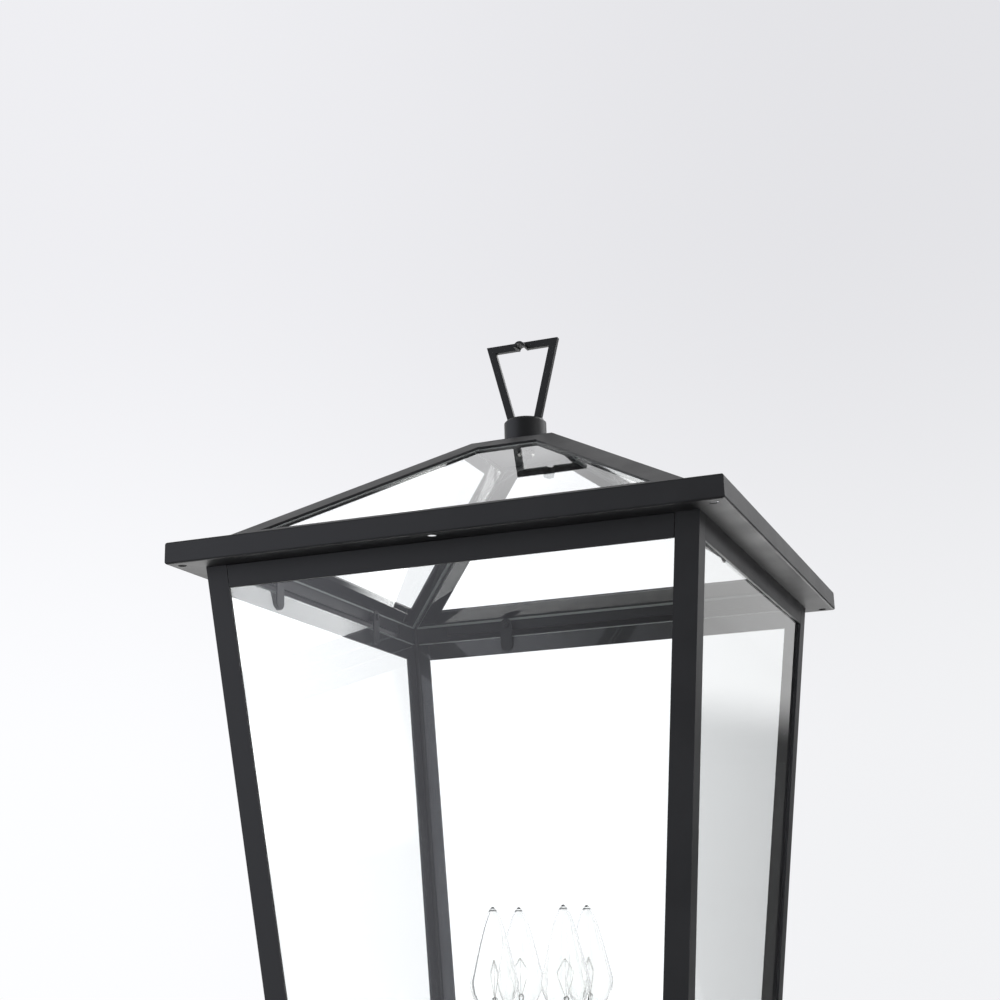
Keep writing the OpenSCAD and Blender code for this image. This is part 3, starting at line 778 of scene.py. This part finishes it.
bulb = {
    "ring": 38.0,           # mm from the lantern's axis
    "angles": (45, 135, 225, 315),
    "foot": -318.5,         # mm above the underside of the eave
    "length": 82.0,
    "belly": 17.5,
    "bellyAt": 0.36,        # share of the length
    "swell": 1.3,
    "taper": (0.75, 0.1),
    "neck": 5.9,
    "tip": 0.6,
    "wall": 0.7,
    "thinnest": 0.3,        # radius of the hollow at its upper end
    "solidTip": 3,
    "steps": 46,
    "sides": 48,
    "mount": [(0, 0.9), (4.3, 0.9), (3.6, 2.2), (2.1, 6), (1.7, 15), (2.3, 17), (1.9, 19), (0, 20)],
    "mountSides": 24,
    # how far out from the bulb's axis and up from its foot
    "leadPath": [(1.0, 14), (1.1, 20), (2.925, 25), (5.85, 32), (6.5, 36)],
    "leadRadius": 0.25,
    "leadSides": 8,
    "stemHeights": (19, 32, 45),
    "stemRadius": 0.18,
    "stemSides": 6,
    "coilRadius": 0.55,
    "coilWire": 0.12,
    "coilTurns": 26,
    "coilSteps": 10,        # points in one turn
    "coilSides": 5,
}


def bulbRadius(s, u):
    rise = math.sin(math.pi / 2 * min(u / s["bellyAt"], 1)) ** s["swell"]
    fall = max(u - s["bellyAt"], 0) / (1 - s["bellyAt"])
    slender, blunt = s["taper"]
    return (s["neck"] + (s["belly"] - s["neck"]) * rise) * (1 - fall) ** (slender - blunt * fall) + s["tip"] * fall


def makeEnvelopes(s, places):
    n, foot, length, wall = s["steps"], s["foot"], s["length"], s["wall"]
    outer = [(0, foot)]
    outer += [(bulbRadius(s, k / n), foot + length * k / n) for k in range(n + 1)]
    outer += [(0, foot + length)]
    inner = [(0, foot + wall)]
    inner += [(max(bulbRadius(s, k / n) - wall, s["thinnest"]), foot + wall + (length - 2 * wall) * k / n)
              for k in range(n)]
    inner += [(0, foot + length - s["solidTip"])]
    mesh, hollow = (solidFrom("bulb_envelopes", *turnedMesh(profile, places, s["sides"]))
                    for profile in (outer, inner))
    hollow.flip_normals()       # the inner side of the wall faces the hollow
    work = bmesh.new()
    work.from_mesh(mesh)
    work.from_mesh(hollow)
    work.to_mesh(mesh)
    work.free()
    addPiece("bulb_envelopes", mesh, "bulb_clear", replaced=["bulb_glass"])


def makeMounts(s, places):
    mount = [(r, s["foot"] + h) for r, h in s["mount"]]
    mesh = solidFrom("bulb_mounts", *turnedMesh(mount, places, s["mountSides"]))
    addPiece("bulb_mounts", mesh, "bulb_clear")


def filamentCoil(s, out, first, top, last):
    # a fine coil along a bent line, from one lead's end up to the stem and down to the other
    path = []
    steps = s["coilTurns"] * s["coilSteps"]
    for k in range(steps + 1):
        t = k / steps
        start, end, part = (first, top, 2 * t) if t < 0.5 else (top, last, 2 * t - 1)
        arm = end - start
        side = arm.cross(out.cross(Vector((0, 0, 1)))).normalized()
        other = arm.cross(side).normalized()
        turn = 2 * math.pi * s["coilTurns"] * t
        path.append(start + arm * part + s["coilRadius"] * (math.cos(turn) * side + math.sin(turn) * other))
    return sweptTube(path, [s["coilWire"]] * len(path), s["coilSides"])


def makeWires(s, places):
    leads, coils = [], []
    for (x, y), a in zip(places, s["angles"]):
        out = Vector((math.cos(math.radians(a + 90)), math.sin(math.radians(a + 90)), 0))
        base = Vector((x, y, s["foot"] - hangHeight))
        tips = []
        for side in (-1, 1):
            route = [base + out * (side * reach) + Vector((0, 0, height)) for reach, height in s["leadPath"]]
            leads.append(sweptTube(route, [s["leadRadius"]] * len(route), s["leadSides"]))
            tips.append(route[-1])
        stem = [base + Vector((0, 0, height)) for height in s["stemHeights"]]
        leads.append(sweptTube(stem, [s["stemRadius"]] * len(stem), s["stemSides"]))
        coils.append(filamentCoil(s, out, tips[0], stem[-1], tips[1]))
    addPiece("bulb_lead_wires", meshFrom("bulb_lead_wires", *joined(leads)), "nickel_plate")
    addPiece("bulb_filaments", meshFrom("bulb_filaments", *joined(coils)), "nickel_plate")


bulbPlaces = [(bulb["ring"] * math.cos(math.radians(a)), bulb["ring"] * math.sin(math.radians(a)))
              for a in bulb["angles"]]
makeEnvelopes(bulb, bulbPlaces)
makeMounts(bulb, bulbPlaces)
makeWires(bulb, bulbPlaces)
print("bulbs made")


# studio: a white surround, with panels that only glossy surfaces mirror

studio = {
    "surround": 0.55,           # what lights matt surfaces from all sides
    "backdropHigh": (0.86, 0.86, 0.89, 1),      # what the camera sees far above the horizon
    "backdropLow": (0.985, 0.99, 1.01, 1),
    "backdropFade": (5, 25),    # degrees above the horizon
    "dimSide": 0.90,            # the backdrop grows a little darker from the left of the picture to the right
    "dimFrom": (-0.25, 0.25),
    "throughGlass": 0.09,       # gain for each face of glass that the backdrop is seen through
    "mostGlass": 5.0,
    "mirrorBase": 0.06,         # what glossy surfaces mirror between the panels
}
# what glossy surfaces mirror: panels by azimuth and elevation in degrees, azimuth 0 along +Y and positive to +X
mirrorPanels = [
    # the undersides, brighter at the left
    {"middle": -37, "half": 34, "low": -75, "high": 34, "soft": 5, "level": (1.0, 1.0, 1.0)},
    {"middle": -47, "half": 29, "low": -70, "high": 1, "soft": 5, "level": (1.6, 1.6, 1.6)},
    # faces that look right, high ones and then the eave's
    {"middle": 20, "half": 22, "low": 21, "high": 62, "soft": 5, "level": (3.2, 3.2, 3.2)},
    {"middle": 9.5, "half": 7.2, "low": 4.5, "high": 13, "soft": 2, "level": (0.7, 0.7, 0.7)},
    # the front slope of the roof
    {"middle": -45, "half": 33, "low": 38, "high": 50, "soft": 3, "level": (1.15, 1.15, 1.17)},
    {"middle": -45, "half": 33, "low": 49, "high": 64, "soft": 3, "level": (0.86, 0.86, 0.87)},
    # a soft box at the right
    {"middle": 45.2, "half": 22.3, "low": 9, "high": 36, "soft": 2, "level": (2.9, 2.9, 2.95)},
    # the soffit at the right
    {"middle": 5, "half": 10, "low": -28, "high": -9, "soft": 2, "level": (3.6, 3.6, 3.6)},
    # the front faces, dark at the right and lighter at the left
    {"middle": 180, "half": 70, "low": -30, "high": 40, "soft": 24, "level": (0.15, 0.15, 0.155)},
    {"middle": 240, "half": 36, "low": -30, "high": 40, "soft": 24, "level": (1.25, 1.28, 1.42)},
    # round pieces, towards their right edge
    {"middle": 95, "half": 16, "low": -10, "high": 60, "soft": 8, "level": (0.75, 0.75, 0.75)},
]


def makeMirrorLight(tree, direction, elevation, base, panels):
    level = vector(tree, "NORMALIZE", vector(tree, "MULTIPLY", direction, (1, 1, 0)))
    colour = (base, base, base, 1)
    for p in panels:
        middle, half, low, high = (math.radians(p[k]) for k in ("middle", "half", "low", "high"))
        fade = math.radians(p["soft"]) / 2
        aim = (math.sin(middle), math.cos(middle), 0)
        away = number(tree, "ARCCOSINE", measure(tree, "DOT_PRODUCT", level, aim))
        across = mapValue(tree, away, (half - fade, half + fade), (1, 0), True)
        above = mapValue(tree, elevation, (low - fade, low + fade), (0, 1), True)
        below = mapValue(tree, elevation, (high - fade, high + fade), (1, 0), True)
        share = number(tree, "MULTIPLY", across, number(tree, "MULTIPLY", above, below))
        colour = mixColours(tree, share, colour, (*p["level"], 1))
    return colour


def shine(tree, colour, strength):
    node = tree.nodes.new("ShaderNodeBackground")
    plug(tree, node.inputs["Color"], colour)
    plug(tree, node.inputs["Strength"], strength)
    return node.outputs[0]


def makeWorld(s, panels):
    world = bpy.data.worlds.new("studio")
    bpy.context.scene.world = world
    world.use_nodes = True
    tree = world.node_tree
    direction = tree.nodes.new("ShaderNodeTexCoord").outputs["Generated"]
    split = tree.nodes.new("ShaderNodeSeparateXYZ")
    tree.links.new(direction, split.inputs[0])
    elevation = number(tree, "ARCSINE", split.outputs["Z"])
    ray = tree.nodes.new("ShaderNodeLightPath").outputs
    matt = shine(tree, (1, 1, 1, 1), s["surround"])
    mirrored = shine(tree, makeMirrorLight(tree, direction, elevation, s["mirrorBase"], panels), 1.0)
    rising = mapValue(tree, elevation, [math.radians(a) for a in s["backdropFade"]], (0, 1), True)
    backdrop = mixColours(tree, rising, s["backdropLow"], s["backdropHigh"])
    toRight = measure(tree, "DOT_PRODUCT", direction, acrossView)
    dim = mapValue(tree, toRight, s["dimFrom"], (1.0, s["dimSide"]), True)
    panes = number(tree, "MINIMUM", ray["Transparent Depth"], s["mostGlass"])
    gain = number(tree, "MULTIPLY_ADD", panes, s["throughGlass"], 1.0)
    seen = shine(tree, backdrop, number(tree, "MULTIPLY", dim, gain))
    straight = number(tree, "MAXIMUM", ray["Is Transmission Ray"], ray["Is Camera Ray"])
    lit = mixShaders(tree, ray["Is Glossy Ray"], matt, mirrored)
    showOn(tree, mixShaders(tree, straight, lit, seen), "World Output")


# floor: a wide pale disc, which keeps the shadow and melts into the surround

studioFloor = {
    "drop": 0.45,           # metres below the lantern
    "radius": 7.0,
    "points": 64,
    "fade": (1.6, 6.6),     # metres from the middle
    "colour": (0.88, 0.88, 0.89, 1),
    "mottle": 0.97,
    "mottleScale": 2.2,
    "mottleDetail": 3,
    "roughness": 0.9,
}


def makeFloor(s):
    turns = [2 * math.pi * k / s["points"] for k in range(s["points"])]
    height = cadLow.z - s["drop"]
    rim = [(s["radius"] * math.cos(a), s["radius"] * math.sin(a), height) for a in turns]
    mesh = meshFrom("floor", rim, [tuple(range(s["points"]))])
    floor = bpy.data.objects.new("floor", mesh)
    bpy.context.scene.collection.objects.link(floor)
    material, tree, shader = newMaterial("floor")
    darker = (*(s["mottle"] * c for c in s["colour"][:3]), 1)
    spots = noiseAt(tree, s["mottleScale"], s["mottleDetail"])
    plug(tree, shader.inputs["Base Color"], mixColours(tree, spots, s["colour"], darker))
    shader.inputs["Roughness"].default_value = s["roughness"]
    place = tree.nodes.new("ShaderNodeTexCoord").outputs["Object"]
    away = measure(tree, "LENGTH", vector(tree, "MULTIPLY", place, (1, 1, 0)))
    below = tree.nodes.new("ShaderNodeNewGeometry").outputs["Backfacing"]
    gone = number(tree, "MAXIMUM", below, mapValue(tree, away, s["fade"], (0, 1), True))
    clear = tree.nodes.new("ShaderNodeBsdfTransparent").outputs[0]
    showOn(tree, mixShaders(tree, gone, shader.outputs[0], clear))
    mesh.materials.append(material)
    floor.visible_glossy = False        # glossy surfaces mirror the panels of the surround instead


# lamps: two soft boxes, from the right and from above

lamps = {
    "right_soft": {"place": (2.2, -0.6, 0.5), "aim": (0, 0, -0.2), "size": (1.6, 1.6), "power": 42},
    "top_soft": {"place": (-0.6, 0.4, 2.4), "aim": (0, 0, -0.2), "size": (2.0, 2.0), "power": 40},
}


def addLamp(name, s):
    data = bpy.data.lights.new(name, "AREA")
    data.shape = "RECTANGLE"
    data.size, data.size_y = s["size"]
    data.energy = s["power"]
    lamp = bpy.data.objects.new(name, data)
    lamp.location = s["place"]
    lamp.rotation_mode = "QUATERNION"
    lamp.rotation_quaternion = (Vector(s["aim"]) - Vector(s["place"])).to_track_quat("-Z", "Y")
    lamp.visible_glossy = False
    bpy.context.scene.collection.objects.link(lamp)


makeWorld(studio, mirrorPanels)
makeFloor(studioFloor)
for name, s in lamps.items():
    addLamp(name, s)
bpy.context.scene.view_settings.view_transform = "Standard"
print("studio set")
